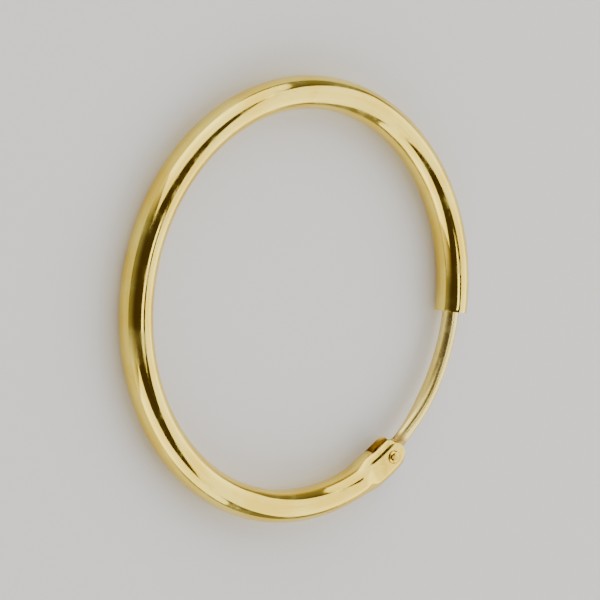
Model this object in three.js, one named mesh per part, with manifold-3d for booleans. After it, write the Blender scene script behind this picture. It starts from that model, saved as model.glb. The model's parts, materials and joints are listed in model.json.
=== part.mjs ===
// A hinged sleeper hoop earring in yellow gold, lying on its side.
// A hollow tube is bent to a ring with a gap. A thin ear wire closes the gap: one end turns on a rivet
// between the two cheeks of the tube's flattened, sawn end, and the other end springs into the tube's
// open mouth. Millimetres, +Z up, origin under the ring's centre on the surface that the hoop lies on.

import * as THREE from "three";
import { mergeVertices } from "three/addons/utils/BufferGeometryUtils.js";
import Module from "manifold-3d";

const wasm = await Module();
wasm.setup();

// Driving dimensions. Angles are degrees round the ring, counter-clockwise from +X.

// The ring and its tube
const HOOP_DIAMETER = 16;
const TUBE_DIAMETER = 1.2;
const TUBE_WALL = 0.2;
const MOUTH_ANGLE = 65.75;
const FORK_END_ANGLE = 22.75 + 360;

// The flattened and sawn end that holds the hinge
const FORK_THICKNESS = 0.86;
const CHEEK_THICKNESS = 0.19;
const FORK_LENGTH = 1.5;
const FLATTENING_LENGTH = 0.8;
const NOSE_CORNER_RADIUS = 0.45;
const RIVET_TO_NOSE = 0.55;
const SAW_CUT_BEHIND_RIVET = 0.65;

// The ear wire, round at its tip and pressed thin where it enters the fork
const WIRE_DIAMETER = 0.62;
const WIRE_INSERTION = 1.2;
const NECK_WIDTH = 0.56;
const NECK_THICKNESS = 0.34;
const THINNING_LENGTH = 3;
const EYE_DIAMETER = 0.78;
const EYE_THICKNESS = 0.4;

// The slot on the outside of the mouth, through which the wire's tip swings out
const SLOT_WIDTH = 0.72;
const SLOT_LENGTH = 1.45;

// The rivet, and the clearances of the hinge
const RIVET_DIAMETER = 0.32;
const RIVET_HEAD_DIAMETER = 0.5;
const RIVET_HEAD_HEIGHT = 0.11;
const RIVET_CLEARANCE = 0.02;
const EYE_CLEARANCE = 0.03;

// How finely round forms are faceted
const OUTER_SIDES = 28;
const BORE_SIDES = 16;
const WIRE_SIDES = 16;
const PIN_SIDES = 16;
const RING_STEP = 4;
const PRESSED_STEP = 1.2;
const NOSE_STEP = 0.5;
const ROUND_END_STEPS = 4;

// Sizes worked out from the driving dimensions

const TUBE_RADIUS = TUBE_DIAMETER / 2;
const WIRE_RADIUS = WIRE_DIAMETER / 2;
const RING_RADIUS = HOOP_DIAMETER / 2 - TUBE_RADIUS;
const SAW_CUT_WIDTH = FORK_THICKNESS - 2 * CHEEK_THICKNESS;
const THROUGH_CUT = 2 * TUBE_DIAMETER;
const DEGREES_PER_MM = THREE.MathUtils.radToDeg(1 / RING_RADIUS);
const RIVET_ANGLE = FORK_END_ANGLE - 360 - RIVET_TO_NOSE * DEGREES_PER_MM;
const TIP_ANGLE = MOUTH_ANGLE + WIRE_INSERTION * DEGREES_PER_MM;

// Points and frames on the ring

const radians = THREE.MathUtils.degToRad;

// A point beside the ring's centreline: how far outwards and how far up from it.
function ringPoint(angle, outwards = 0, up = 0) {
  const radius = RING_RADIUS + outwards;
  const turn = radians(angle);
  return new THREE.Vector3(radius * Math.cos(turn), radius * Math.sin(turn), TUBE_RADIUS + up);
}

// A frame on the centreline with X along the tube, Y inwards to the ring's centre and Z up.
function tangentFrame(angle) {
  return new THREE.Matrix4().makeRotationZ(radians(angle + 90)).setPosition(ringPoint(angle));
}

// Sections and lofts

// A polygon round a slot shape: two half ellipses with a straight length between them. With no
// straight length it is an ellipse. Its flat sides face outwards, inwards, up and down.
function section(halfWidth, halfThickness, halfStraight, sides) {
  const outside = 1 / Math.cos(Math.PI / sides);
  return Array.from({ length: sides }, (_, k) => {
    const turn = ((k + 0.5) * 2 * Math.PI) / sides;
    const across = Math.cos(turn);
    return {
      outwards: halfWidth * outside * across + Math.sign(across) * halfStraight,
      up: halfThickness * outside * Math.sin(turn),
    };
  });
}

// A closed solid through sections that stand across the ring at rising angles.
function loft(stations) {
  const sides = stations[0].outline.length;
  const last = stations.length - 1;
  const points = stations.flatMap(({ angle, outline }) =>
    outline.map(({ outwards, up }) => ringPoint(angle, outwards, up)),
  );
  const faces = [];
  for (let i = 0; i < last; i++) {
    for (let k = 0; k < sides; k++) {
      const next = (k + 1) % sides;
      const [near, nearNext] = [i * sides + k, i * sides + next];
      const [far, farNext] = [near + sides, nearNext + sides];
      faces.push(near, far, nearNext, nearNext, far, farNext);
    }
  }
  const startCentre = points.push(ringPoint(stations[0].angle)) - 1;
  const endCentre = points.push(ringPoint(stations[last].angle)) - 1;
  for (let k = 0; k < sides; k++) {
    const next = (k + 1) % sides;
    faces.push(startCentre, k, next);
    faces.push(endCentre, last * sides + next, last * sides + k);
  }
  return new THREE.BufferGeometry().setFromPoints(points).setIndex(faces);
}

// Angles from one to another in equal steps, both ends included.
function anglesBetween(from, to, step) {
  const count = Math.max(1, Math.round((to - from) / step));
  return Array.from({ length: count + 1 }, (_, k) => from + ((to - from) * k) / count);
}

// Joining and cutting

function toManifold(geometry) {
  const bare = geometry.clone();
  bare.deleteAttribute("normal");
  bare.deleteAttribute("uv");
  const merged = mergeVertices(bare);
  return new wasm.Manifold(
    new wasm.Mesh({
      numProp: 3,
      vertProperties: merged.attributes.position.array,
      triVerts: new Uint32Array(merged.index.array),
    }),
  );
}

function toGeometry(manifold) {
  const mesh = manifold.getMesh();
  const geometry = new THREE.BufferGeometry();
  geometry.setAttribute("position", new THREE.BufferAttribute(mesh.vertProperties, 3));
  geometry.setIndex(new THREE.BufferAttribute(mesh.triVerts, 1));
  return geometry;
}

// A round bar through the hinge, along Z, for holes and for the wire's eye.
function hingeBar(radius, length) {
  const bar = new THREE.CylinderGeometry(radius, radius, length, PIN_SIDES).rotateX(Math.PI / 2);
  return toManifold(bar.applyMatrix4(tangentFrame(RIVET_ANGLE)));
}

// The tube

// How far the tube is pressed flat at a distance from its forked end, from 0 to 1.
function flattening(fromEnd) {
  return THREE.MathUtils.smoothstep(FORK_LENGTH + FLATTENING_LENGTH - fromEnd, 0, FLATTENING_LENGTH);
}

// How much the nose's rounded corners narrow the fork on each side.
function noseInset(fromEnd) {
  const intoCorner = THREE.MathUtils.clamp(NOSE_CORNER_RADIUS - fromEnd, 0, NOSE_CORNER_RADIUS);
  return NOSE_CORNER_RADIUS - Math.sqrt(NOSE_CORNER_RADIUS ** 2 - intoCorner ** 2);
}

// The tube's section at an angle, a depth inside its outer surface. Pressing it flat keeps its girth,
// and the nose takes its inset first from the flats and then from the round sides.
function tubeSection(angle, depth, sides) {
  const fromEnd = (FORK_END_ANGLE - angle) / DEGREES_PER_MM;
  const thickness = THREE.MathUtils.lerp(TUBE_DIAMETER, FORK_THICKNESS, flattening(fromEnd));
  const radius = thickness / 2 - depth;
  const straight = (Math.PI / 4) * (TUBE_DIAMETER - thickness) - noseInset(fromEnd);
  const halfWidth = radius + Math.min(straight, 0);
  return { angle, outline: section(halfWidth, radius, Math.max(straight, 0), sides) };
}

function tubeAngles() {
  const pressStart = FORK_END_ANGLE - (FORK_LENGTH + FLATTENING_LENGTH) * DEGREES_PER_MM;
  const forkStart = FORK_END_ANGLE - FORK_LENGTH * DEGREES_PER_MM;
  const cornerStart = FORK_END_ANGLE - NOSE_CORNER_RADIUS * DEGREES_PER_MM;
  return [
    ...anglesBetween(MOUTH_ANGLE, pressStart, RING_STEP),
    ...anglesBetween(pressStart, forkStart, PRESSED_STEP).slice(1),
    ...anglesBetween(forkStart, cornerStart, RING_STEP).slice(1),
    ...anglesBetween(cornerStart, FORK_END_ANGLE, NOSE_STEP).slice(1),
  ];
}

// The hollow of the tube, from before its mouth to the saw cut, which takes over at the fork.
function boreSolid() {
  const cutStart = RIVET_ANGLE + 360 - SAW_CUT_BEHIND_RIVET * DEGREES_PER_MM;
  const angles = [...tubeAngles().filter((angle) => angle < cutStart), cutStart + PRESSED_STEP];
  const stations = angles.map((angle) => tubeSection(angle, TUBE_WALL, BORE_SIDES));
  stations.unshift({ angle: MOUTH_ANGLE - RING_STEP, outline: stations[0].outline });
  return toManifold(loft(stations));
}

// The saw cut in the ring's plane that leaves two cheeks at the flattened end.
function sawCut() {
  const length = SAW_CUT_BEHIND_RIVET + 2 * RIVET_TO_NOSE;
  const cut = new THREE.BoxGeometry(length, THROUGH_CUT, SAW_CUT_WIDTH);
  cut.translate(length / 2 - SAW_CUT_BEHIND_RIVET, 0, 0);
  return toManifold(cut.applyMatrix4(tangentFrame(RIVET_ANGLE)));
}

// The sawn slot in the outside of the mouth.
function mouthSlot() {
  const cut = new THREE.BoxGeometry(2 * SLOT_LENGTH, TUBE_DIAMETER, SLOT_WIDTH);
  cut.translate(0, -TUBE_RADIUS, 0);
  return toManifold(cut.applyMatrix4(tangentFrame(MOUTH_ANGLE)));
}

function hoopTube() {
  const outside = toManifold(
    loft(tubeAngles().map((angle) => tubeSection(angle, 0, OUTER_SIDES))),
  );
  const rivetHole = hingeBar(RIVET_DIAMETER / 2 + RIVET_CLEARANCE, THROUGH_CUT);
  return [boreSolid(), sawCut(), mouthSlot(), rivetHole].reduce(
    (tube, cut) => tube.subtract(cut),
    outside,
  );
}

// The ear wire

// The wire's section at a distance from the rivet: thin at the neck, round further on.
function wireSection(angle, shrink = 1) {
  const fromRivet = (angle - RIVET_ANGLE) / DEGREES_PER_MM;
  const roundness = THREE.MathUtils.smoothstep(fromRivet, RIVET_TO_NOSE, THINNING_LENGTH);
  const halfWidth = THREE.MathUtils.lerp(NECK_WIDTH, WIRE_DIAMETER, roundness) / 2;
  const halfThickness = THREE.MathUtils.lerp(NECK_THICKNESS, WIRE_DIAMETER, roundness) / 2;
  const outline = section(halfWidth * shrink, halfThickness * shrink, 0, WIRE_SIDES);
  return { angle, outline };
}

// The rounded tip, as sections of a half ball. The last one closes it a little before its pole.
function tipSections() {
  const ballAngle = TIP_ANGLE - WIRE_RADIUS * DEGREES_PER_MM;
  return Array.from({ length: ROUND_END_STEPS }, (_, k) => {
    const turn = (((k + 1) / (ROUND_END_STEPS + 0.5)) * Math.PI) / 2;
    return wireSection(ballAngle + Math.sin(turn) * WIRE_RADIUS * DEGREES_PER_MM, Math.cos(turn));
  });
}

function earWire() {
  const thinEnd = RIVET_ANGLE + THINNING_LENGTH * DEGREES_PER_MM;
  const ballAngle = TIP_ANGLE - WIRE_RADIUS * DEGREES_PER_MM;
  const angles = [
    ...anglesBetween(RIVET_ANGLE, thinEnd, PRESSED_STEP),
    ...anglesBetween(thinEnd, ballAngle, RING_STEP).slice(1),
  ];
  const stations = angles.map((angle) => wireSection(angle));
  const shaft = toManifold(loft([...stations, ...tipSections()]));
  const eye = hingeBar(EYE_DIAMETER / 2, EYE_THICKNESS);
  const hole = hingeBar(RIVET_DIAMETER / 2 + EYE_CLEARANCE, THROUGH_CUT);
  return shaft.add(eye).subtract(hole);
}

// The rivet

// A pin with a low domed head on the outer face of each cheek.
function hingeRivet() {
  const pinRadius = RIVET_DIAMETER / 2;
  const headRadius = RIVET_HEAD_DIAMETER / 2;
  const headSeat = FORK_THICKNESS / 2 + RIVET_CLEARANCE;
  const dome = Array.from({ length: ROUND_END_STEPS + 1 }, (_, k) => {
    const turn = ((k / ROUND_END_STEPS) * Math.PI) / 2;
    const radius = k === ROUND_END_STEPS ? 0 : headRadius * Math.cos(turn);
    return new THREE.Vector2(radius, headSeat + RIVET_HEAD_HEIGHT * Math.sin(turn));
  });
  const upperHalf = [new THREE.Vector2(pinRadius, headSeat), ...dome];
  const lowerHalf = upperHalf.map(({ x, y }) => new THREE.Vector2(x, -y)).reverse();
  const rivet = new THREE.LatheGeometry([...lowerHalf, ...upperHalf], PIN_SIDES);
  return toManifold(rivet.rotateX(Math.PI / 2).applyMatrix4(tangentFrame(RIVET_ANGLE)));
}

// The finished earring

const polishedGold = new THREE.MeshStandardMaterial({
  color: 0xd9b65a,
  metalness: 1,
  roughness: 0.18,
});
const paleGold = new THREE.MeshStandardMaterial({ color: 0xdcc07c, metalness: 1, roughness: 0.22 });

function namedMesh(name, manifold, material) {
  const mesh = new THREE.Mesh(toGeometry(manifold), material);
  mesh.name = name;
  return mesh;
}

const hoopEarring = new THREE.Group();
hoopEarring.add(
  namedMesh("hoop_tube", hoopTube(), polishedGold),
  namedMesh("hinge_rivet", hingeRivet(), polishedGold),
  namedMesh("ear_wire", earWire(), paleGold),
);

export default hoopEarring;
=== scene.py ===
"""The looks of a hinged sleeper hoop earring in pale yellow gold, lying on its side.

Each CAD solid is stood for by a smooth piece of the same size and place: the hollow tube with its
sawn fork and open mouth, the thin ear wire with its eye, and the rivet that the eye turns on.
The pieces are shaped in millimetres, and each is brought to metres in its mesh when it is done.
"""

import json
import logging
import math
from collections.abc import Callable, Iterable
from dataclasses import dataclass
from enum import Enum
from typing import NamedTuple

import bmesh
import bpy
from mathutils import Matrix, Vector


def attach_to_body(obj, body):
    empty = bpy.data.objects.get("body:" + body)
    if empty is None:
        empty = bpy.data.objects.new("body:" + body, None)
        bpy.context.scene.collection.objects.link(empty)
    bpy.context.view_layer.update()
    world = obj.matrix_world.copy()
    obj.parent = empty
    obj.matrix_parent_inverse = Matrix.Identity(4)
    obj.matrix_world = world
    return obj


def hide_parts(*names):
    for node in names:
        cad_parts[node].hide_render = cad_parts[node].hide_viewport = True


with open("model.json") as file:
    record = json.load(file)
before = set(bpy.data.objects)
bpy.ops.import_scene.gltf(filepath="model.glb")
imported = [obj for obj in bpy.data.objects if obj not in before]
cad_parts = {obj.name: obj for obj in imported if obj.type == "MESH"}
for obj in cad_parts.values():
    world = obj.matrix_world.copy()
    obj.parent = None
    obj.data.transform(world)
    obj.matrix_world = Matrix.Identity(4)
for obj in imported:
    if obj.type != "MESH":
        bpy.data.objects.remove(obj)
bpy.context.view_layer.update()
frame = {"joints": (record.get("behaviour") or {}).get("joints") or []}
HINGE_X, HINGE_Y, HINGE_Z = frame["joints"][0]["pos_m"]

METRES_PER_MILLIMETRE = 0.001

# Edges that turn by less are shaded smooth
SMOOTH_ANGLE = math.radians(40)
# Edges that turn by less aren't rounded
SHARP_ANGLE = math.radians(35)
# Degrees within which a point stands at a station of the ring
SAME_STATION = 0.02
# Millimetres within which a point lies on a round of the tube's section
SAME_ROUND = 0.01
# Millimetres within which points lie level
SAME_LEVEL = 0.001
# The upward share of a normal above which its face lies flat
FLAT_FACE = 0.9

logger = logging.getLogger("hoop_earring")


class Body(Enum):
    """The CAD bodies that the pieces ride on."""

    HOOP = "hoop"
    WIRE = "wire"


class Slot(Enum):
    """The record's material slots."""

    TUBE = "tube_gold"
    RIVET = "rivet_gold"
    WIRE = "wire_gold"


class Combining(Enum):
    """How a second solid changes a piece."""

    JOIN = "UNION"
    CUT = "DIFFERENCE"


# The ring and places on it


class Place(NamedTuple):
    """Where a point lies on the ring: degrees round it, and millimetres from its circle."""

    angle: float
    outwards: float
    up: float

    def reach(self) -> float:
        """Millimetres straight from the ring's circle."""
        return math.hypot(self.outwards, self.up)

    def rise(self, straight: float = 0.0) -> float:
        """Degrees round the tube's section from its side, at 0, to its top or bottom, at 90.

        Args:
            straight: Half the length of the flat between the section's round sides.

        Returns:
            The angle, from 0 to 90.
        """
        beyond = max(abs(self.outwards) - straight, 0.0)
        return math.degrees(math.atan2(abs(self.up), beyond))

    def at(self, angle: float) -> bool:
        """Whether it stands at a station of the ring."""
        return abs(self.angle - angle) < SAME_STATION


@dataclass(frozen=True)
class Ring:
    """The circle that the tube and the ear wire follow. Angles are degrees from +X, counter-clockwise."""

    radius: float = 7.4
    height: float = HINGE_Z / METRES_PER_MILLIMETRE
    rivet_angle: float = math.degrees(math.atan2(HINGE_Y, HINGE_X))

    def point(self, angle: float, outwards: float = 0.0, up: float = 0.0) -> Vector:
        """A point on or beside the circle.

        Args:
            angle: Degrees round the ring.
            outwards: Millimetres away from the ring's centre.
            up: Millimetres above the circle.

        Returns:
            The point, in millimetres.
        """
        turn = math.radians(angle)
        reach = self.radius + outwards
        return Vector((reach * math.cos(turn), reach * math.sin(turn), self.height + up))

    def degrees(self, length: float) -> float:
        """How many degrees round the circle a length in millimetres covers."""
        return math.degrees(length / self.radius)

    def frame(self, angle: float) -> Matrix:
        """The directions outwards, along the ring and up, as a matrix's columns."""
        return Matrix.Rotation(math.radians(angle), 3, "Z")

    def place(self, point: Vector, start_angle: float) -> Place:
        """Where a point lies on the ring.

        Args:
            point: The point, in millimetres.
            start_angle: The angle that the count starts from, so that a piece has no jump in it.

        Returns:
            Its place, with an angle from start_angle up to a full turn more.
        """
        angle = math.degrees(math.atan2(point.y, point.x))
        counted = (angle - start_angle) % 360 + start_angle
        return Place(counted, math.hypot(point.x, point.y) - self.radius, point.z - self.height)


RING = Ring()


def smoothstep(share: float) -> float:
    """A share from 0 to 1 with soft ends."""
    held = min(max(share, 0.0), 1.0)
    return held * held * (3 - 2 * held)


def mix(start: float, end: float, share: float) -> float:
    """The value a share of the way from one to another."""
    return start + (end - start) * share


# Shaping


class Workpiece:
    """One mesh that is shaped in edit mode, in millimetres, with its points picked by their place."""

    def __init__(self, name: str, start_angle: float) -> None:
        """Take the object that was added last and start to edit it.

        Args:
            name: The piece's name.
            start_angle: Where the count of degrees round the ring starts for this piece.
        """
        self.body: bpy.types.Object = bpy.context.object
        self.start_angle = start_angle
        self.body.name = name
        self.body.data.name = name
        bpy.ops.object.transform_apply(location=True, rotation=True, scale=True)
        bpy.ops.object.mode_set(mode="EDIT")

    def place(self, point: Vector) -> Place:
        """Where a point lies on the ring, counted from the piece's start."""
        return RING.place(point, self.start_angle)

    def places(self, selected: bool = False) -> dict[int, Place]:
        """The places of the piece's points.

        Args:
            selected: Take only the points that are selected.

        Returns:
            Each point's number in the mesh and its place.
        """
        mesh = bmesh.from_edit_mesh(self.body.data)
        points = [point for point in mesh.verts if point.select or not selected]
        return {point.index: self.place(point.co) for point in points}

    def find(self, test: Callable[[Place], bool]) -> dict[int, Place]:
        """The points whose place passes a test.

        Args:
            test: Says whether a place is wanted.

        Returns:
            Each such point's number in the mesh and its place.
        """
        return {number: place for number, place in self.places().items() if test(place)}

    def pick(self, numbers: Iterable[int]) -> None:
        """Select some points, with the edges and faces between them, and nothing else.

        Args:
            numbers: The points' numbers in the mesh.
        """
        bpy.ops.mesh.select_mode(type="VERT")
        bpy.ops.mesh.select_all(action="DESELECT")
        mesh = bmesh.from_edit_mesh(self.body.data)
        mesh.verts.ensure_lookup_table()
        for number in numbers:
            mesh.verts[number].select_set(True)
        mesh.select_flush_mode()
        bmesh.update_edit_mesh(self.body.data)

    def pick_faces(self, test: Callable[[Place, Vector], bool]) -> None:
        """Select the faces that pass a test, and nothing else.

        Args:
            test: Says from the place of a face's middle and from its normal whether it is wanted.
        """
        bpy.ops.mesh.select_mode(type="FACE")
        bpy.ops.mesh.select_all(action="DESELECT")
        mesh = bmesh.from_edit_mesh(self.body.data)
        for face in mesh.faces:
            if test(self.place(face.calc_center_median()), face.normal):
                face.select_set(True)
        bmesh.update_edit_mesh(self.body.data)

    def open_middle(self, wall: float) -> None:
        """Fill the circle that the piece starts from, inset it and take its middle out.

        Args:
            wall: The width of the washer that is left, which is then selected.
        """
        bpy.ops.mesh.select_all(action="SELECT")
        bpy.ops.mesh.edge_face_add()
        bpy.ops.mesh.inset(thickness=wall)
        bpy.ops.mesh.delete(type="ONLY_FACE")
        bpy.ops.mesh.select_all(action="SELECT")

    def spin(self, degrees: float, steps: int) -> None:
        """Sweep what is selected forwards round the ring. The end that it reaches stays selected."""
        bpy.ops.mesh.spin(
            steps=steps, angle=math.radians(degrees), center=(0, 0, RING.height), axis=(0, 0, -1)
        )

    def extrude(self, degrees: float = 0.0) -> None:
        """Extrude what is selected and turn it forwards round the ring.

        Args:
            degrees: How far. Backwards is negative, and 0 leaves the new points on the old ones.
        """
        bpy.ops.mesh.extrude_region_move(TRANSFORM_OT_translate={"value": (0, 0, 0)})
        if degrees:
            bpy.ops.transform.rotate(
                value=-math.radians(degrees), orient_axis="Z", center_override=(0, 0, 0)
            )

    def scale(self, angle: float, outwards: float = 1.0, along: float = 1.0, up: float = 1.0) -> None:
        """Scale what is selected about the tube's centre at an angle of the ring.

        Args:
            angle: Degrees round the ring.
            outwards: Factor away from the ring's centre.
            along: Factor along the tube.
            up: Factor across the ring's plane.
        """
        bpy.ops.transform.resize(
            value=(outwards, along, up),
            orient_type="GLOBAL",
            orient_matrix=RING.frame(angle),
            orient_matrix_type="GLOBAL",
            center_override=RING.point(angle),
        )

    def move(self, angle: float, outwards: float = 0.0, up: float = 0.0) -> None:
        """Move what is selected outwards and up, at an angle of the ring."""
        bpy.ops.transform.translate(value=RING.frame(angle) @ Vector((outwards, 0, up)))

    def even_gap(self, gap: float, outer_side: bool = False) -> None:
        """Bring the selected points of a gap to its upper and lower level. They all stay selected.

        Args:
            gap: How far the levels lie above and below the ring's circle.
            outer_side: Move only the points that lie outside the circle.
        """
        held = self.places(selected=True)
        for side in (-1, 1):
            self.pick(
                number
                for number, p in held.items()
                if 0 < p.up * side < gap + SAME_LEVEL and (p.outwards > 0 or not outer_side)
            )
            level = (0, 0, RING.height + side * gap)
            bpy.ops.transform.resize(value=(1, 1, 0), center_override=level)
        self.pick(held)

    def weld(self, distance: float) -> None:
        """Merge points of the whole piece.

        Args:
            distance: How near each other they lie, in millimetres.
        """
        bpy.ops.mesh.select_mode(type="VERT")
        bpy.ops.mesh.select_all(action="SELECT")
        bpy.ops.mesh.remove_doubles(threshold=distance)

    def close(self) -> None:
        """Turn all faces outwards."""
        bpy.ops.mesh.select_all(action="SELECT")
        bpy.ops.mesh.normals_make_consistent(inside=False)

    def round_edges(self, width: float, segments: int = 2) -> None:
        """Bevel the sharp edges of the whole piece.

        Args:
            width: How far the bevel reaches on each side of an edge.
            segments: The faces across it.
        """
        bpy.ops.mesh.select_mode(type="EDGE")
        bpy.ops.mesh.select_all(action="DESELECT")
        bpy.ops.mesh.edges_select_sharp(sharpness=SHARP_ANGLE)
        bpy.ops.mesh.bevel(offset=width, segments=segments, profile=0.5, clamp_overlap=True)

    def leave(self) -> bpy.types.Object:
        """Leave edit mode.

        Returns:
            The piece's object.
        """
        bpy.ops.object.mode_set(mode="OBJECT")
        return self.body


def deselect_all() -> None:
    """Leave nothing selected, so that an operator reaches only what is added next."""
    for piece in bpy.context.selected_objects:
        piece.select_set(False)


def take_up(piece: bpy.types.Object) -> None:
    """Select a piece, and nothing else, and make it the active one.

    Args:
        piece: The piece.
    """
    deselect_all()
    bpy.context.view_layer.objects.active = piece
    piece.select_set(True)


def add_circle(angle: float, radius: float, sides: int) -> None:
    """Add a circle that stands across the ring, with its first point on top.

    Args:
        angle: Degrees round the ring.
        radius: The circle's radius.
        sides: The number of its sides.
    """
    deselect_all()
    bpy.ops.mesh.primitive_circle_add(
        vertices=sides,
        radius=radius,
        location=RING.point(angle),
        rotation=(math.pi / 2, 0, math.radians(angle)),
    )


def add_bar(angle: float, radius: float, length: float, sides: int) -> bpy.types.Object:
    """Add a round bar that stands upright on the ring.

    Args:
        angle: Degrees round the ring.
        radius: The bar's radius.
        length: Its length, centred on the ring's circle.
        sides: The number of its sides.

    Returns:
        The bar's object.
    """
    deselect_all()
    bpy.ops.mesh.primitive_cylinder_add(
        vertices=sides,
        radius=radius,
        depth=length,
        location=RING.point(angle),
        rotation=(0, 0, math.radians(angle)),
    )
    return bpy.context.object


def combine(piece: bpy.types.Object, tool: bpy.types.Object, combining: Combining) -> None:
    """Join a second solid to a piece or cut it away, and remove the second solid.

    Args:
        piece: The piece that is kept.
        tool: The solid that is used up.
        combining: What the second solid does.
    """
    take_up(piece)
    boolean = piece.modifiers.new("combine", "BOOLEAN")
    boolean.operation = combining.value
    boolean.solver = "EXACT"
    boolean.object = tool
    bpy.ops.object.modifier_apply(modifier=boolean.name)
    bpy.data.objects.remove(tool)


def finish_mesh(piece: bpy.types.Object) -> None:
    """Bring a piece from millimetres to metres in its mesh and shade it smooth between its edges.

    Args:
        piece: The piece.
    """
    take_up(piece)
    bpy.ops.object.mode_set(mode="EDIT")
    bpy.ops.mesh.select_all(action="SELECT")
    bpy.ops.transform.resize(value=(METRES_PER_MILLIMETRE,) * 3, center_override=(0, 0, 0))
    bpy.ops.object.mode_set(mode="OBJECT")
    bpy.ops.object.shade_smooth_by_angle(angle=SMOOTH_ANGLE)
    piece.select_set(False)


def attach(piece: bpy.types.Object, body: Body, node: str, slot: Slot) -> None:
    """Let a piece ride on its body and stand for its CAD node.

    Args:
        piece: The finished piece.
        body: The body that it moves with.
        node: The CAD node that it stands for.
        slot: The record's material slot; not used.
    """
    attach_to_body(piece, body.value)
    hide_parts(node)
    logger.info("%s: %d faces, rides on %s", piece.name, len(piece.data.polygons), body.value)


# Node groups that the finishes share


class NodeSheet:
    """A node tree with short ways to add and join its nodes."""

    def __init__(self, tree: bpy.types.NodeTree) -> None:
        """Start on a tree."""
        self.tree = tree

    def add(self, kind: str, **settings: object) -> bpy.types.Node:
        """Add a node and set its properties.

        Args:
            kind: The node's type.
            settings: Its properties by name.

        Returns:
            The node.
        """
        node = self.tree.nodes.new(kind)
        for name, value in settings.items():
            setattr(node, name, value)
        return node

    def feed(self, socket: bpy.types.NodeSocket, value: object) -> None:
        """Join a socket to another, or set it to a value.

        Args:
            socket: The socket.
            value: The other socket, or a number, colour or vector.
        """
        if isinstance(value, bpy.types.NodeSocket):
            self.tree.links.new(value, socket)
        else:
            socket.default_value = value

    def math(self, operation: str, *values: object) -> bpy.types.NodeSocket:
        """Add a Math node.

        Args:
            operation: What it works out.
            values: Its inputs, as sockets or numbers.

        Returns:
            Its result.
        """
        node = self.add("ShaderNodeMath", operation=operation)
        for socket, value in zip(node.inputs, values, strict=False):
            self.feed(socket, value)
        return node.outputs[0]

    def length(self, first: object, second: object) -> bpy.types.NodeSocket:
        """The length of what goes this far one way and that far at right angles to it."""
        squares = self.math("ADD", self.math("POWER", first, 2), self.math("POWER", second, 2))
        return self.math("SQRT", squares)

    def noise(
        self, vector: bpy.types.NodeSocket, scale: float, detail: float = 2.0, **extra: object
    ) -> bpy.types.NodeSocket:
        """Add a noise texture.

        Args:
            vector: Where it is read.
            scale: Waves per millimetre where the vector is in millimetres.
            detail: Octaves of finer noise.
            extra: The texture's roughness, and a w that makes it four-dimensional.

        Returns:
            Its value, about 0.5.
        """
        node = self.add("ShaderNodeTexNoise", noise_dimensions="4D" if "w" in extra else "3D")
        self.feed(node.inputs["Vector"], vector)
        self.feed(node.inputs["Scale"], scale)
        self.feed(node.inputs["Detail"], detail)
        for name, value in extra.items():
            self.feed(node.inputs[name.upper() if name == "w" else name.capitalize()], value)
        return node.outputs["Fac"]

    def ramp(
        self, value: bpy.types.NodeSocket, low: float, high: float, start: float = 0.0, end: float = 1.0
    ) -> bpy.types.NodeSocket:
        """Map a range of a value to another, held at its ends with a soft step.

        Args:
            value: What is mapped.
            low: The value at the range's start.
            high: The value at its end.
            start: What comes out at low.
            end: What comes out at high.

        Returns:
            The mapped value.
        """
        node = self.add("ShaderNodeMapRange", interpolation_type="SMOOTHSTEP")
        for name, given in (
            ("Value", value),
            ("From Min", low),
            ("From Max", high),
            ("To Min", start),
            ("To Max", end),
        ):
            self.feed(node.inputs[name], given)
        return node.outputs["Result"]

    def blend(self, share: object, first: object, second: object) -> bpy.types.NodeSocket:
        """Mix two colours.

        Args:
            share: How much of the second, as a socket or a number.
            first: The colour at 0.
            second: The colour at 1.

        Returns:
            The mixed colour.
        """
        node = self.add("ShaderNodeMix", data_type="RGBA")
        self.feed(node.inputs[0], share)
        self.feed(node.inputs[6], first)
        self.feed(node.inputs[7], second)
        return node.outputs[2]

    def bump(
        self,
        height: bpy.types.NodeSocket,
        depth: float,
        under: bpy.types.NodeSocket | None = None,
        sunk: bool = False,
    ) -> bpy.types.NodeSocket:
        """Add a Bump node.

        Args:
            height: The relief, from 0 to 1.
            depth: Its depth in metres.
            under: The normal of the relief that it lies on, if there is one.
            sunk: The relief goes into the surface.

        Returns:
            The normal.
        """
        node = self.add("ShaderNodeBump", invert=sunk)
        self.feed(node.inputs["Distance"], depth)
        self.feed(node.inputs["Height"], height)
        if under is not None:
            self.feed(node.inputs["Normal"], under)
        return node.outputs[0]


def start_group(name: str, inputs: dict[str, str], outputs: dict[str, str]) -> NodeSheet:
    """Make an empty shader node group.

    Args:
        name: The group's name.
        inputs: Its input sockets, name to socket type.
        outputs: Its output sockets, name to socket type.

    Returns:
        A sheet on the group's tree.
    """
    tree = bpy.data.node_groups.new(name, "ShaderNodeTree")
    for in_out, sockets in (("INPUT", inputs), ("OUTPUT", outputs)):
        for socket, kind in sockets.items():
            tree.interface.new_socket(socket, in_out=in_out, socket_type=kind)
    return NodeSheet(tree)


FLOAT = "NodeSocketFloat"
VECTOR = "NodeSocketVector"
COLOUR = "NodeSocketColor"


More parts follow.
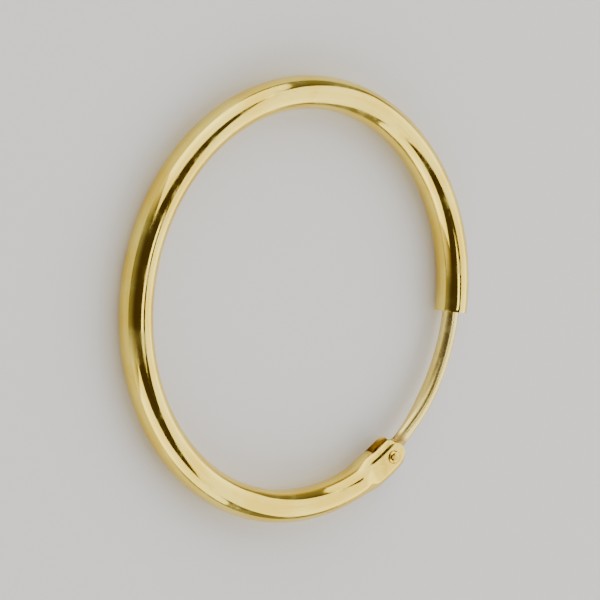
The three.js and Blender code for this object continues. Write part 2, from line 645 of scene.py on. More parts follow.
def make_ring_places() -> bpy.types.NodeTree:
    """Build the group that turns object coordinates into millimetres and places on the ring.

    Returns:
        The group.
    """
    sheet = start_group(
        "ring_places",
        {"Object": VECTOR},
        {"Millimetres": VECTOR, "Outwards": FLOAT, "Up": FLOAT, "Reach": FLOAT, "From hinge": FLOAT},
    )
    given = sheet.add("NodeGroupInput").outputs["Object"]
    result = sheet.add("NodeGroupOutput")
    scaled = sheet.add("ShaderNodeVectorMath", operation="SCALE")
    sheet.feed(scaled.inputs[0], given)
    sheet.feed(scaled.inputs["Scale"], 1 / METRES_PER_MILLIMETRE)
    millimetres = scaled.outputs[0]
    split = sheet.add("ShaderNodeSeparateXYZ")
    sheet.feed(split.inputs[0], millimetres)
    x, y, z = split.outputs
    outwards = sheet.math("SUBTRACT", sheet.length(x, y), RING.radius)
    up = sheet.math("SUBTRACT", z, RING.height)
    hinge = RING.point(RING.rivet_angle)
    from_x = sheet.math("SUBTRACT", x, hinge.x)
    from_y = sheet.math("SUBTRACT", y, hinge.y)
    sheet.feed(result.inputs["Millimetres"], millimetres)
    sheet.feed(result.inputs["Outwards"], outwards)
    sheet.feed(result.inputs["Up"], up)
    sheet.feed(result.inputs["Reach"], sheet.length(outwards, up))
    sheet.feed(result.inputs["From hinge"], sheet.length(from_x, from_y))
    return sheet.tree


def make_drawn_lines() -> bpy.types.NodeTree:
    """Build the group for the faint lines that drawing and polishing leave along a tube or wire.

    Returns:
        The group. Its value is about 0.5, long along the ring and short across it.
    """
    sheet = start_group(
        "drawn_lines",
        {"Millimetres": VECTOR, "Outwards": FLOAT, "Up": FLOAT, "Along": FLOAT, "Across": FLOAT},
        {"Lines": FLOAT},
    )
    given = sheet.add("NodeGroupInput").outputs
    result = sheet.add("NodeGroupOutput")
    split = sheet.add("ShaderNodeSeparateXYZ")
    sheet.feed(split.inputs[0], given["Millimetres"])
    stretched = sheet.add("ShaderNodeCombineXYZ")
    sheet.feed(stretched.inputs[0], sheet.math("MULTIPLY", split.outputs[0], given["Along"]))
    sheet.feed(stretched.inputs[1], sheet.math("MULTIPLY", split.outputs[1], given["Along"]))
    sheet.feed(stretched.inputs[2], sheet.math("MULTIPLY", given["Outwards"], given["Across"]))
    fourth = sheet.math("MULTIPLY", given["Up"], given["Across"])
    lines = sheet.noise(stretched.outputs[0], 1.0, 3.0, w=fourth, roughness=0.6)
    sheet.feed(result.inputs["Lines"], lines)
    return sheet.tree


def make_hairlines() -> bpy.types.NodeTree:
    """Build the group for thin scratches that cross each other, as wear and a cloth leave them.

    Returns:
        The group. Its mask is 0 off the scratches.
    """
    waves_along = 0.05
    waves_across = 2.2
    waves_between_gaps = 1.3
    gap_edge = (0.5, 0.7)
    strongest = 0.6
    turns = ((0.3, 0.9, 0.5), (1.2, 0.2, 2.1), (2.4, 1.5, 0.9))
    offsets = (3.1, 17.7, 41.3)
    sheet = start_group("hairlines", {"Millimetres": VECTOR, "Width": FLOAT}, {"Mask": FLOAT})
    given = sheet.add("NodeGroupInput").outputs
    result = sheet.add("NodeGroupOutput")
    masks = []
    for turn, offset in zip(turns, offsets, strict=True):
        mapping = sheet.add("ShaderNodeMapping")
        sheet.feed(mapping.inputs["Vector"], given["Millimetres"])
        mapping.inputs["Location"].default_value = (offset, offset, offset)
        mapping.inputs["Rotation"].default_value = turn
        mapping.inputs["Scale"].default_value = (waves_along, waves_across, waves_across)
        value = sheet.noise(mapping.outputs[0], 1.0, 1.0)
        off_line = sheet.math("ABSOLUTE", sheet.math("SUBTRACT", value, 0.5))
        masks.append(sheet.ramp(off_line, 0.0, given["Width"], 1.0, 0.0))
    most = sheet.math("MAXIMUM", sheet.math("MAXIMUM", masks[0], masks[1]), masks[2])
    gaps = sheet.noise(given["Millimetres"], waves_between_gaps)
    broken = sheet.ramp(gaps, *gap_edge, 0.0, strongest)
    sheet.feed(result.inputs["Mask"], sheet.math("MULTIPLY", most, broken))
    return sheet.tree


def make_grime_and_shade() -> bpy.types.NodeTree:
    """Build the group for the painted shade in the hinge and inside the tube, where a dull grime also
    gathers.

    Returns:
        The group. Its mask is 1 where the painted shade is darkest and the grime thickest.
    """
    cheek_levels = (0.2, 0.3)
    hinge_reach = (0.75, 1.15)
    bore_fade = 0.06
    patch_waves = 3.5
    thick_patches = (0.3, 0.6)
    thinnest = 0.6
    faint_shade_reach = (0.3, 1.5)
    thin_patches = (0.45, 0.65)
    faint_shade_strength = 0.35
    sheet = start_group(
        "crease_grime_shade",
        {"Millimetres": VECTOR, "Up": FLOAT, "Reach": FLOAT, "From hinge": FLOAT, "Inside": FLOAT},
        {"Mask": FLOAT},
    )
    given = sheet.add("NodeGroupInput").outputs
    result = sheet.add("NodeGroupOutput")
    patchy = sheet.noise(given["Millimetres"], patch_waves, 4.0, roughness=0.65)
    # Painted shade: strongest between the cheeks near the hinge and inside the bore, where shade falls.
    height = sheet.math("ABSOLUTE", given["Up"])
    between_cheeks = sheet.ramp(height, *cheek_levels, 1.0, 0.0)
    near_hinge = sheet.ramp(given["From hinge"], *hinge_reach, 1.0, 0.0)
    in_hinge = sheet.math("MULTIPLY", between_cheeks, near_hinge)
    bore_end = sheet.math("ADD", given["Inside"], bore_fade)
    in_bore = sheet.ramp(given["Reach"], given["Inside"], bore_end, 1.0, 0.0)
    thick = sheet.math("MAXIMUM", in_hinge, in_bore)
    uneven = sheet.math("MULTIPLY", thick, sheet.ramp(patchy, *thick_patches, thinnest, 1.0))
    # A faint, patchy painted shade round the hinge.
    around = sheet.ramp(given["From hinge"], *faint_shade_reach, faint_shade_strength, 0.0)
    thin = sheet.math("MULTIPLY", around, sheet.ramp(patchy, *thin_patches))
    sheet.feed(result.inputs["Mask"], sheet.math("MAXIMUM", uneven, thin))
    return sheet.tree


class Effects:
    """The node groups of this earring, each made once and placed in every finish."""

    def __init__(self) -> None:
        """Build the groups."""
        self.ring_places = make_ring_places()
        self.drawn_lines = make_drawn_lines()
        self.hairlines = make_hairlines()
        self.crease_grime_shade = make_grime_and_shade()

    @staticmethod
    def put(sheet: NodeSheet, group: bpy.types.NodeTree, **values: object) -> bpy.types.Node:
        """Place a group in a material.

        Args:
            sheet: The material's sheet.
            group: The group.
            values: Its inputs by name, with _ for a space.

        Returns:
            The group's node.
        """
        node = sheet.add("ShaderNodeGroup", node_tree=group)
        for name, value in values.items():
            sheet.feed(node.inputs[name.replace("_", " ").capitalize()], value)
        return node


# Finishes


@dataclass(frozen=True)
class Marks:
    """What a finish reads from the shared groups.

    Args:
        millimetres: Object coordinates in millimetres.
        lines: The drawn lines.
        scratches: The mask of the hairlines.
        grime_shade_mask: The mask of the painted shade in the creases and bore, and of the dull grime
            there.
    """

    millimetres: bpy.types.NodeSocket
    lines: bpy.types.NodeSocket
    scratches: bpy.types.NodeSocket
    grime_shade_mask: bpy.types.NodeSocket


@dataclass(frozen=True)
class GoldFinish:
    """Polished yellow gold with the marks of making and wear, and painted shade in its creases and bore.

    Args:
        name: The material's name.
        pale: The lighter tone of the metal, linear.
        deep: The deeper tone of the metal, linear.
        shade_colour: The colour of the painted shade in creases and inside the tube, linear.
        shade_cover: How much of the metal's colour the painted shade hides.
        grime_dullness: How much roughness the dull grime in creases adds.
        gloss: The roughness of clean metal.
        worn: The roughness where it is most smudged or scratched.
        drift_waves: Waves per millimetre of the drift between the tones.
        drift_edge: The part of the noise over which one tone turns into the other.
        streaks: How far the drawn lines shift that drift.
        smudge_waves: Waves per millimetre of the smudges.
        smudge_edge: The part of the noise over which a smudge thickens.
        line_edge: The part of the drawn lines over which they turn dull.
        line_dullness: How dull they turn, as a share of a smudge.
        line_length: Waves per millimetre of the drawn lines along the ring.
        line_width: Waves per millimetre across them.
        line_depth: Their depth in metres, and the hairlines'.
        swell_waves: Waves per millimetre of the slow swells from bending and polishing.
        swell_depth: Their depth in metres.
        scratch_width: How wide the hairlines are, as a share of their noise.
        inside: How near the ring's circle the painted shade and grime inside the hollow tube start, in
            millimetres.
    """

    name: str
    pale: tuple[float, float, float, float] = (0.92, 0.723, 0.135, 1.0)
    deep: tuple[float, float, float, float] = (0.85, 0.598, 0.068, 1.0)
    # The colour and cover of the painted shade in creases and the bore, then the roughness of the grime
    # there.
    shade_colour: tuple[float, float, float, float] = (0.28, 0.15, 0.04, 1.0)
    shade_cover: float = 0.85
    grime_dullness: float = 0.3
    gloss: float = 0.08
    worn: float = 0.26
    drift_waves: float = 0.55
    drift_edge: tuple[float, float] = (0.35, 0.65)
    streaks: float = 0.5
    smudge_waves: float = 1.1
    smudge_edge: tuple[float, float] = (0.42, 0.72)
    line_edge: tuple[float, float] = (0.5, 0.8)
    line_dullness: float = 0.5
    line_length: float = 0.3
    line_width: float = 9.0
    line_depth: float = 5e-7
    swell_waves: float = 0.7
    swell_depth: float = 9e-6
    scratch_width: float = 0.006
    inside: float = 0.36

    def make(self, effects: Effects) -> bpy.types.Material:
        """Build the material.

        Args:
            effects: The shared node groups.

        Returns:
            The material.
        """
        material = bpy.data.materials.new(self.name)
        material.use_nodes = True
        sheet = NodeSheet(material.node_tree)
        shader = material.node_tree.nodes["Principled BSDF"]
        shader.inputs["Metallic"].default_value = 1.0
        where = sheet.add("ShaderNodeTexCoord").outputs["Object"]
        places = Effects.put(sheet, effects.ring_places, object=where).outputs
        millimetres = places["Millimetres"]
        lines = Effects.put(
            sheet,
            effects.drawn_lines,
            millimetres=millimetres,
            outwards=places["Outwards"],
            up=places["Up"],
            along=self.line_length,
            across=self.line_width,
        ).outputs["Lines"]
        scratches = Effects.put(
            sheet, effects.hairlines, millimetres=millimetres, width=self.scratch_width
        ).outputs["Mask"]
        # The mask of the painted shade in the hinge and the bore, which also dulls them.
        grime_shade_mask = Effects.put(
            sheet,
            effects.crease_grime_shade,
            millimetres=millimetres,
            up=places["Up"],
            reach=places["Reach"],
            from_hinge=places["From hinge"],
            inside=self.inside,
        ).outputs["Mask"]
        marks = Marks(millimetres, lines, scratches, grime_shade_mask)
        sheet.feed(shader.inputs["Base Color"], self.colour(sheet, marks))
        sheet.feed(shader.inputs["Roughness"], self.roughness(sheet, marks))
        sheet.feed(shader.inputs["Normal"], self.relief(sheet, marks))
        return material

    def colour(self, sheet: NodeSheet, marks: Marks) -> bpy.types.NodeSocket:
        """Tint the metal: slow drifts between its tones, and the painted shade in its creases and bore
        over them.

        Args:
            sheet: The material's sheet.
            marks: What it reads.

        Returns:
            The colour.
        """
        drift = sheet.noise(marks.millimetres, self.drift_waves, 3.0)
        shift = sheet.math("MULTIPLY", sheet.math("SUBTRACT", marks.lines, 0.5), self.streaks)
        tone = sheet.ramp(sheet.math("ADD", drift, shift), *self.drift_edge)
        metal = sheet.blend(tone, self.deep, self.pale)
        # Painted shade: the mask darkens the metal towards a deep brown in the hinge and the bore.
        return sheet.blend(sheet.math("MULTIPLY", marks.grime_shade_mask, self.shade_cover), metal, self.shade_colour)

    def roughness(self, sheet: NodeSheet, marks: Marks) -> bpy.types.NodeSocket:
        """Work out how dull the metal is: clean, smudged, scratched or dulled by the grime in its
        creases.

        Args:
            sheet: The material's sheet.
            marks: What it reads.

        Returns:
            The roughness.
        """
        most_marked = 1.2
        uneven = sheet.noise(marks.millimetres, self.smudge_waves, 4.0, roughness=0.6)
        smudges = sheet.ramp(uneven, *self.smudge_edge)
        dull_lines = sheet.ramp(marks.lines, *self.line_edge, 0.0, self.line_dullness)
        marked = sheet.math("MAXIMUM", sheet.math("ADD", smudges, dull_lines), marks.scratches)
        metal = sheet.ramp(marked, 0.0, most_marked, self.gloss, self.worn)
        return sheet.math("ADD", metal, sheet.math("MULTIPLY", marks.grime_shade_mask, self.grime_dullness))

    def relief(self, sheet: NodeSheet, marks: Marks) -> bpy.types.NodeSocket:
        """Give the surface its slow swells, drawn lines and hairlines.

        Args:
            sheet: The material's sheet.
            marks: What it reads.

        Returns:
            The normal.
        """
        swells = sheet.noise(marks.millimetres, self.swell_waves, 1.5)
        swollen = sheet.bump(swells, self.swell_depth)
        drawn = sheet.bump(marks.lines, self.line_depth, swollen)
        return sheet.bump(marks.scratches, self.line_depth, drawn, sunk=True)


# The pieces


@dataclass
class HoopTube:
    """The hollow tube bent to a ring, with a slotted open mouth and a pressed, sawn fork.

    Args:
        finish: What it is dressed in.
        radius: The tube's outer radius.
        wall: The thickness of its wall.
        mouth_angle: Where its open mouth ends.
        fork_end_angle: Where the fork's nose ends.
        fork_thickness: The fork's thickness across the ring's plane.
        cheek_thickness: The thickness of each cheek.
        fork_length: The length that is pressed fully flat.
        flattening_length: The length over which it goes from round to flat.
        nose_corner_radius: The radius of the nose's corners.
        saw_cut_behind_rivet: How far the cut between the cheeks reaches behind the rivet.
        slot_width: The width of the slot on the mouth's outer side.
        slot_length: Its length.
        rivet_hole_radius: The radius of the holes through the cheeks.
        edge_width: The width of the rounding on its edges.
        sides: The number of sides round the tube.

    The names in capitals say how it is modelled. COUNT_MARGIN is how far before the mouth the count of
    degrees starts, and RING_STEP how many of them one step of the sweep covers. NOSE_TURNS are degrees
    round the nose's corners. RISE_MARGIN, in degrees, and SIDE_RISE, in millimetres, are less than one
    side of the section, so that a test finds the point it is meant for.
    """

    finish: GoldFinish
    radius: float = 0.6
    wall: float = 0.2
    mouth_angle: float = 65.75
    fork_end_angle: float = 382.75
    fork_thickness: float = 0.86
    cheek_thickness: float = 0.19
    fork_length: float = 1.5
    flattening_length: float = 0.8
    nose_corner_radius: float = 0.45
    saw_cut_behind_rivet: float = 0.65
    slot_width: float = 0.72
    slot_length: float = 1.45
    rivet_hole_radius: float = 0.18
    edge_width: float = 0.028
    sides: int = 64

    NAME = "hoop_tube_polished"
    COUNT_MARGIN = 5.0
    RING_STEP = 1.5
    PRESSED_STEPS = 18
    CHEEK_STEPS = 5
    SLOT_STEPS = 8
    NOSE_TURNS = (15, 30, 43, 56, 68, 90)
    HOLE_SIDES = 48
    RISE_MARGIN = 1.0
    SIDE_RISE = 0.05
    SEAM_WELD = 0.002
    BEVEL_WELD = 0.0005

    def slot_floor(self) -> float:
        """Where the slot starts, in degrees round the ring."""
        return self.mouth_angle + RING.degrees(self.slot_length)

    def cut_floor(self) -> float:
        """Where the saw cut between the cheeks starts, in degrees round the ring."""
        return RING.rivet_angle + 360 - RING.degrees(self.saw_cut_behind_rivet)

    def press_start(self) -> float:
        """Where the tube starts to be pressed flat, in degrees round the ring."""
        return self.fork_end_angle - RING.degrees(self.fork_length + self.flattening_length)

    def thickness(self, angle: float) -> float:
        """Work out the tube's thickness across the ring's plane.

        Args:
            angle: Degrees round the ring.

        Returns:
            The thickness.
        """
        from_end = (self.fork_end_angle - angle) / RING.degrees(1)
        into_press = (self.fork_length + self.flattening_length - from_end) / self.flattening_length
        return mix(2 * self.radius, self.fork_thickness, smoothstep(into_press))

    def straight(self, angle: float) -> float:
        """Half the flat of the pressed section at an angle, which keeps the tube's girth."""
        return math.pi / 4 * (2 * self.radius - self.thickness(angle))

    def build(self, effects: Effects) -> bpy.types.Object:
        """Model the tube and dress it.

        Args:
            effects: The shared node groups.

        Returns:
            The finished piece.
        """
        add_circle(self.slot_floor(), self.radius, self.sides)
        piece = Workpiece(self.NAME, self.mouth_angle - self.COUNT_MARGIN)
        piece.open_middle(self.wall)
        round_part = self.press_start() - self.slot_floor()
        piece.spin(round_part, round(round_part / self.RING_STEP))
        pressed_part = self.cut_floor() - self.press_start()
        for _ in range(self.PRESSED_STEPS):
            piece.extrude(pressed_part / self.PRESSED_STEPS)
        for step in range(1, self.PRESSED_STEPS + 1):
            self.press(piece, self.press_start() + pressed_part * step / self.PRESSED_STEPS)
        self.add_cheeks(piece)
        self.add_mouth(piece)
        piece.close()
        piece.round_edges(self.edge_width)
        piece.weld(self.BEVEL_WELD)
        piece.close()
        tube = piece.leave()
        self.drill(tube)
        finish_mesh(tube)
        tube.data.materials.append(self.finish.make(effects))
        attach(tube, Body.HOOP, "hoop_tube", Slot.TUBE)
        return tube

    def press(self, piece: Workpiece, angle: float) -> None:
        """Press the outer skin and the bore at one station from round to a slot shape.

        Args:
            piece: The tube.
            angle: The station, in degrees round the ring.
        """
        station = piece.find(lambda p: p.at(angle))
        for depth in (0.0, self.wall):
            radius = self.radius - depth
            loop = {number: p for number, p in station.items() if abs(p.reach() - radius) < SAME_ROUND}
            piece.pick(loop)
            share = (self.thickness(angle) / 2 - depth) / radius
            piece.scale(angle, share, share, share)
            for side in (-1, 1):
                piece.pick(number for number, p in loop.items() if p.outwards * side > SAME_LEVEL)
                piece.move(angle, outwards=side * self.straight(angle))

    def add_cheeks(self, piece: Workpiece) -> None:
        """Close the pressed end at the saw cut's floor and carry the two cheeks on to the nose.

        Args:
            piece: The tube.
        """
        floor = self.cut_floor()
        gap = self.fork_thickness / 2 - self.cheek_thickness
        edge_rise = math.degrees(math.asin(gap / (self.fork_thickness / 2))) - self.RISE_MARGIN
        straight = self.straight(floor)
        piece.pick(piece.find(lambda p: p.at(floor) and p.rise(straight) > edge_rise))
        piece.extrude()
        piece.even_gap(gap)
        piece.weld(self.SEAM_WELD)
        piece.pick_faces(lambda p, normal: p.at(floor) and abs(p.up) > gap)
        nose_start = self.fork_end_angle - RING.degrees(self.nose_corner_radius)
        for _ in range(self.CHEEK_STEPS):
            piece.extrude((nose_start - floor) / self.CHEEK_STEPS)
        self.round_nose(piece, nose_start)

    def round_nose(self, piece: Workpiece, nose_start: float) -> None:
        """Carry the cheeks round the corners of the nose.

        Args:
            piece: The tube, with the cheeks' ends selected.
            nose_start: Where the corners start, in degrees round the ring.
        """
        half_width = self.fork_thickness / 2 + self.straight(nose_start)
        angle = nose_start
        share = 1.0
        for turn in self.NOSE_TURNS:
            reached = nose_start + RING.degrees(self.nose_corner_radius * math.sin(math.radians(turn)))
            inset = self.nose_corner_radius * (1 - math.cos(math.radians(turn)))
            narrowed = (half_width - inset) / half_width
            piece.extrude(reached - angle)
            piece.scale(reached, outwards=narrowed / share)
            angle = reached
            share = narrowed

    def add_mouth(self, piece: Workpiece) -> None:
        """Close the mouth's end at the slot's floor and carry the open tube on to the mouth.

        Args:
            piece: The tube.
        """
        floor = self.slot_floor()
        gap = self.slot_width / 2
        edge_rise = math.degrees(math.asin(gap / self.radius)) - self.RISE_MARGIN
        edge_outwards = math.sqrt(self.radius**2 - gap**2)
        for side in (-1, 1):
            edge = piece.find(
                lambda p, s=side: p.at(floor)
                and p.reach() > self.radius - SAME_ROUND
                and p.outwards > 0
                and gap <= p.up * s < gap + self.SIDE_RISE
            )
            corner = next(iter(edge.values()))
            piece.pick(edge)
            piece.move(floor, edge_outwards - corner.outwards, side * gap - corner.up)
        piece.pick(piece.find(lambda p: p.at(floor) and (p.outwards <= 0 or p.rise() > edge_rise)))
        piece.extrude()
        piece.even_gap(gap, outer_side=True)
        piece.weld(self.SEAM_WELD)
        piece.pick_faces(lambda p, normal: p.at(floor) and not (p.outwards > 0 and abs(p.up) < gap))
        for _ in range(self.SLOT_STEPS):
            piece.extrude(-RING.degrees(self.slot_length) / self.SLOT_STEPS)

    def drill(self, tube: bpy.types.Object) -> None:
        """Drill the rivet's hole through both cheeks.

        Args:
            tube: The tube's object.
        """
        bit = add_bar(RING.rivet_angle, self.rivet_hole_radius, 4 * self.radius, self.HOLE_SIDES)
        combine(tube, bit, Combining.CUT)


@dataclass
class EarWire:
    """The thin wire that goes through the ear: an eye, a pressed neck and a rounded tip.

    Args:
        finish: What it is dressed in.
        radius: The round wire's radius.
        tip_angle: Where its tip ends inside the tube.
        neck_width: The neck's width in the ring's plane, at the eye.
        neck_thickness: Its thickness across the plane.
        neck_start: How far from the rivet the neck leaves the eye's middle.
        thinning_start: How far from the rivet the neck starts to grow.
        thinning_length: How far from the rivet the wire is round.
        eye_radius: The eye's outer radius.
        eye_thickness: Its thickness.
        eye_hole_radius: The radius of its hole.
        eye_edge: The rounding of its rims.
        sides: The number of sides round the wire.

    POLE_SHARE is how wide the last round at the tip's pole is before it is merged to a point.
    """

    finish: GoldFinish
    radius: float = 0.31
    tip_angle: float = 75.041
    neck_width: float = 0.56
    neck_thickness: float = 0.34
    neck_start: float = 0.24
    thinning_start: float = 0.55
    thinning_length: float = 3.0
    eye_radius: float = 0.39
    eye_thickness: float = 0.4
    eye_hole_radius: float = 0.19
    eye_edge: float = 0.05
    sides: int = 48

    NAME = "ear_wire_polished"
    RING_STEP = 1.2
    NECK_STEPS = 28
    TIP_STEPS = 8
    POLE_SHARE = 0.001
    EYE_SIDES = 64
    RIM_STEPS = 4

    def build(self, effects: Effects) -> bpy.types.Object:
        """Model the wire and dress it.

        Args:
            effects: The shared node groups.

        Returns:
            The finished piece.
        """
        start = RING.rivet_angle + RING.degrees(self.neck_start)
        round_start = RING.rivet_angle + RING.degrees(self.thinning_length)
        ball = self.tip_angle - RING.degrees(self.radius)
        add_circle(start, self.radius, self.sides)
        piece = Workpiece(self.NAME, 0.0)
        bpy.ops.mesh.select_all(action="SELECT")
        piece.spin(round_start - start, self.NECK_STEPS)
        piece.spin(ball - round_start, round((ball - round_start) / self.RING_STEP))
        self.round_tip(piece, ball)
        for step in range(self.NECK_STEPS):
            self.press(piece, start + (round_start - start) * step / self.NECK_STEPS)
        piece.pick(piece.find(lambda p: p.at(start)))
        bpy.ops.mesh.edge_face_add()
        piece.close()
        wire = piece.leave()
        combine(wire, self.make_eye(), Combining.JOIN)
        finish_mesh(wire)
        wire.data.materials.append(self.finish.make(effects))
        attach(wire, Body.WIRE, "ear_wire", Slot.WIRE)
        return wire

    def round_tip(self, piece: Workpiece, ball: float) -> None:
        """Carry the end on as half a ball and close it at its pole.

        Args:
            piece: The wire, with its end selected.
            ball: Where the half ball starts, in degrees round the ring.
        """
        angle = ball
        share = 1.0
        for step in range(1, self.TIP_STEPS + 1):
            turn = math.pi / 2 * step / self.TIP_STEPS
            reached = ball + RING.degrees(self.radius * math.sin(turn))
            shrunk = max(math.cos(turn), self.POLE_SHARE)
            piece.extrude(reached - angle)
            piece.scale(reached, *(shrunk / share,) * 3)
            angle = reached
            share = shrunk
        bpy.ops.mesh.merge(type="CENTER")

    def press(self, piece: Workpiece, angle: float) -> None:
        """Press the neck at one station.

        Args:
            piece: The wire.
            angle: The station, in degrees round the ring.
        """
        from_rivet = (angle - RING.rivet_angle) / RING.degrees(1)
        grown = (from_rivet - self.thinning_start) / (self.thinning_length - self.thinning_start)
        roundness = smoothstep(grown)
        diameter = 2 * self.radius
        width = mix(self.neck_width, diameter, roundness)
        thickness = mix(self.neck_thickness, diameter, roundness)
        piece.pick(piece.find(lambda p: p.at(angle)))
        piece.scale(angle, outwards=width / diameter, up=thickness / diameter)

    def make_eye(self) -> bpy.types.Object:
        """Model the eye: a thick washer with rounded rims.

        Returns:
            The eye's object, to be joined to the wire.
        """
        deselect_all()
        bpy.ops.mesh.primitive_circle_add(
            vertices=self.EYE_SIDES,
            radius=self.eye_radius,
            location=RING.point(RING.rivet_angle, up=-self.eye_thickness / 2),
        )
        eye = Workpiece("eye", 0.0)
        eye.open_middle(self.eye_radius - self.eye_hole_radius)
        eye.extrude()
        eye.move(RING.rivet_angle, up=self.eye_thickness)
        eye.close()
        eye.round_edges(self.eye_edge, self.RIM_STEPS)
        return eye.leave()


@dataclass
class HingeRivet:
    """The pin through the cheeks and the eye, with a low domed head on each side.

    Args:
        finish: What it is dressed in.
        pin_radius: The pin's radius.
        head_radius: The heads' radius.
        head_height: How high they stand.
        seat: How far the heads' undersides lie from the ring's circle.
        sides: The number of sides round it.

    DOME_TURNS are degrees up the dome. DOME_FULLNESS makes it fuller than half an ellipse, which is 1.
    """

    finish: GoldFinish
    pin_radius: float = 0.16
    head_radius: float = 0.25
    head_height: float = 0.11
    seat: float = 0.45
    sides: int = 48

    NAME = "hinge_rivet_polished"
    DOME_TURNS = (0, 14, 28, 42, 56, 70, 82)
    DOME_FULLNESS = 0.7

    def build(self, effects: Effects) -> bpy.types.Object:
        """Model the rivet and dress it.

        Args:
            effects: The shared node groups.

        Returns:
            The finished piece.
        """
        add_bar(RING.rivet_angle, self.pin_radius, 2 * self.seat, self.sides)
        piece = Workpiece(self.NAME, 0.0)
        for side in (-1, 1):
            self.raise_head(piece, side)
        piece.close()
        rivet = piece.leave()
        finish_mesh(rivet)
        rivet.data.materials.append(self.finish.make(effects))
        attach(rivet, Body.HOOP, "hinge_rivet", Slot.RIVET)
        return rivet

    def raise_head(self, piece: Workpiece, side: int) -> None:
        """Hammer one end of the pin out to a low dome.

        Args:
            piece: The rivet.
            side: 1 for the upper head and -1 for the lower.
        """
        angle = RING.rivet_angle
        piece.pick_faces(lambda p, normal: normal.z * side > FLAT_FACE)
        radius = self.pin_radius
        height = 0.0
        for turn in self.DOME_TURNS:
            wanted = self.head_radius * math.cos(math.radians(turn)) ** self.DOME_FULLNESS
            risen = self.head_height * math.sin(math.radians(turn))
            piece.extrude()
            piece.move(angle, up=side * (risen - height))
            piece.scale(angle, outwards=wanted / radius, along=wanted / radius)
            radius = wanted
            height = risen


# The studio


@dataclass(frozen=True)
class Softbox:
    """A soft area light aimed at the hoop.

    Args:
        name: The light's name.
        azimuth: Degrees from +X, counter-clockwise, that it stands at.
        elevation: Degrees above the floor.
        distance: Metres from the hoop.
        width: Its width in metres.
        height: Its height in metres.
        power: Its power in watts.
    """

    name: str
    azimuth: float
    elevation: float
    distance: float
    width: float
    height: float
    power: float

    def hang(self) -> None:
        """Add the light."""
        turn = math.radians(self.azimuth)
        lift = math.radians(self.elevation)
        towards = Vector(
            (math.cos(turn) * math.cos(lift), math.sin(turn) * math.cos(lift), math.sin(lift))
        )
        lamp = bpy.data.lights.new(self.name, "AREA")
        lamp.shape = "RECTANGLE"
        lamp.size = self.width
        lamp.size_y = self.height
        lamp.energy = self.power
        light = bpy.data.objects.new(self.name, lamp)
        light.location = towards * self.distance
        light.rotation_euler = towards.to_track_quat("Z", "Y").to_euler()
        light.visible_camera = False
        bpy.context.scene.collection.objects.link(light)
        logger.info("%s: %.2f W", self.name, self.power)


@dataclass(frozen=True)
class ProductCamera:
    """The camera, at the photograph's place from the hoop, with a longer lens.

    Args:
        offset: Metres from the hoop's centre.
        picture_up: The direction that is up in the picture.
        lens: Its focal length in millimetres.
        nearest: How near it sees, in metres.
        farthest: How far it sees, in metres.
    """

    offset: tuple[float, float, float] = (-0.04081, -0.07574, 0.09782)
    picture_up: tuple[float, float, float] = (-0.9368, 0.3387, -0.0869)
    lens: float = 220.0
    nearest: float = 0.005
    farthest: float = 20.0

    def set_up(self) -> None:
        """Add the camera and make it the scene's."""
        back = Vector(self.offset).normalized()
        right = Vector(self.picture_up).cross(back).normalized()
        up = back.cross(right)
        aim = Vector((0, 0, RING.height * METRES_PER_MILLIMETRE))
        camera = bpy.data.objects.new("camera", bpy.data.cameras.new("camera"))
        camera.data.lens = self.lens
        camera.data.clip_start = self.nearest
        camera.data.clip_end = self.farthest
        turn = Matrix((right, up, back)).transposed().to_4x4()
        camera.matrix_world = Matrix.Translation(aim + Vector(self.offset)) @ turn
        bpy.context.scene.collection.objects.link(camera)
        bpy.context.scene.camera = camera


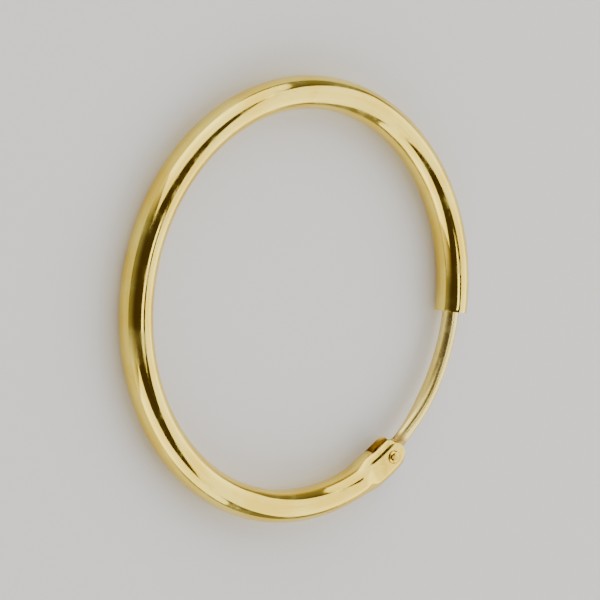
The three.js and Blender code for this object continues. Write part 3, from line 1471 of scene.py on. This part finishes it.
@dataclass(frozen=True)
class Studio:
    """The pale floor, the room round it and the lights.

    Args:
        floor_size: The floor's side in metres.
        floor_colour: Its colour, linear.
        floor_roughness: Its roughness.
        grain_waves: Waves per metre of its paper grain.
        grain_depth: The grain's depth in metres.
        windows: How many windows the room has round its walls.
        window_turn: Where they stand, as degrees of one window and wall.
        window_edge: The part of a wave from -1 to 1 over which a wall turns into a window.
        window: The strength of the light from a window.
        wall: The strength of the light from the walls between them.
        ceiling: The strength of the light from overhead.
        ceiling_edge: The upward shares of a direction between which the ceiling's strength takes over.
        lamplight_edge: The upward shares between which its colour does.
        daylight: The colour of the light from the windows and walls, linear.
        lamplight: The colour of the light from overhead, linear.
        softboxes: The lights.
    """

    floor_size: float = 4.0
    floor_colour: tuple[float, float, float, float] = (0.86, 0.85, 0.83, 1.0)
    floor_roughness: float = 0.75
    grain_waves: float = 5000.0
    grain_depth: float = 4e-6
    windows: float = 3.0
    window_turn: float = 265.0
    window_edge: tuple[float, float] = (-0.5, 0.6)
    window: float = 1.4
    wall: float = 0.3
    ceiling: float = 0.07
    ceiling_edge: tuple[float, float] = (0.1, 0.75)
    lamplight_edge: tuple[float, float] = (0.3, 0.75)
    daylight: tuple[float, float, float, float] = (1.0, 0.985, 0.96, 1.0)
    lamplight: tuple[float, float, float, float] = (1.0, 0.72, 0.45, 1.0)
    softboxes: tuple[Softbox, ...] = (
        Softbox("softbox_back", 60, 40, 0.5, 0.9, 0.45, 2.7),
        Softbox("softbox_left", 165, 33, 0.45, 0.6, 0.42, 1.7),
        Softbox("softbox_right", -35, 28, 0.5, 0.6, 0.36, 1.5),
        Softbox("softbox_top", 40, 82, 0.5, 0.2, 0.1, 0.2),
    )

    def set_up(self) -> None:
        """Lay the floor, light the room and hang the lights."""
        deselect_all()
        bpy.ops.mesh.primitive_plane_add(size=self.floor_size)
        floor = bpy.context.object
        floor.name = "floor"
        paper = bpy.data.materials.new("floor_paper")
        paper.use_nodes = True
        sheet = NodeSheet(paper.node_tree)
        shader = paper.node_tree.nodes["Principled BSDF"]
        shader.inputs["Base Color"].default_value = self.floor_colour
        shader.inputs["Roughness"].default_value = self.floor_roughness
        where = sheet.add("ShaderNodeTexCoord").outputs["Object"]
        grain = sheet.noise(where, self.grain_waves, 3.0)
        sheet.feed(shader.inputs["Normal"], sheet.bump(grain, self.grain_depth))
        floor.data.materials.append(paper)
        self.light_room()
        for softbox in self.softboxes:
            softbox.hang()

    def light_room(self) -> None:
        """Let the room shine from its windows, less from its walls, and stay dark overhead."""
        world = bpy.data.worlds.new("studio_room")
        bpy.context.scene.world = world
        world.use_nodes = True
        sheet = NodeSheet(world.node_tree)
        split = sheet.add("ShaderNodeSeparateXYZ")
        sheet.feed(split.inputs[0], sheet.add("ShaderNodeTexCoord").outputs["Generated"])
        x, y, lift = split.outputs
        azimuth = sheet.math("ARCTAN2", y, x)
        around = sheet.math("MULTIPLY_ADD", azimuth, self.windows, math.radians(self.window_turn))
        walls = sheet.ramp(sheet.math("SINE", around), *self.window_edge, self.wall, self.window)
        strength = sheet.ramp(lift, *self.ceiling_edge, walls, self.ceiling)
        overhead = sheet.ramp(lift, *self.lamplight_edge)
        tint = sheet.blend(overhead, self.daylight, self.lamplight)
        background = world.node_tree.nodes["Background"]
        sheet.feed(background.inputs["Color"], tint)
        sheet.feed(background.inputs["Strength"], strength)


def main() -> None:
    """Build the earring and its studio."""
    logging.basicConfig(level=logging.INFO, format="%(name)s: %(message)s")
    effects = Effects()
    HoopTube(GoldFinish("tube_gold_polished")).build(effects)
    EarWire(
        GoldFinish(
            "wire_gold_drawn",
            pale=(0.93, 0.775, 0.26, 1.0),
            deep=(0.88, 0.68, 0.17, 1.0),
            gloss=0.24,
            worn=0.36,
            line_width=14.0,
            swell_depth=2e-6,
            inside=-1.0,
        )
    ).build(effects)
    HingeRivet(GoldFinish("rivet_gold_polished", gloss=0.13, inside=-1.0)).build(effects)
    Studio().set_up()
    ProductCamera().set_up()


if __name__ == "__main__":
    main()
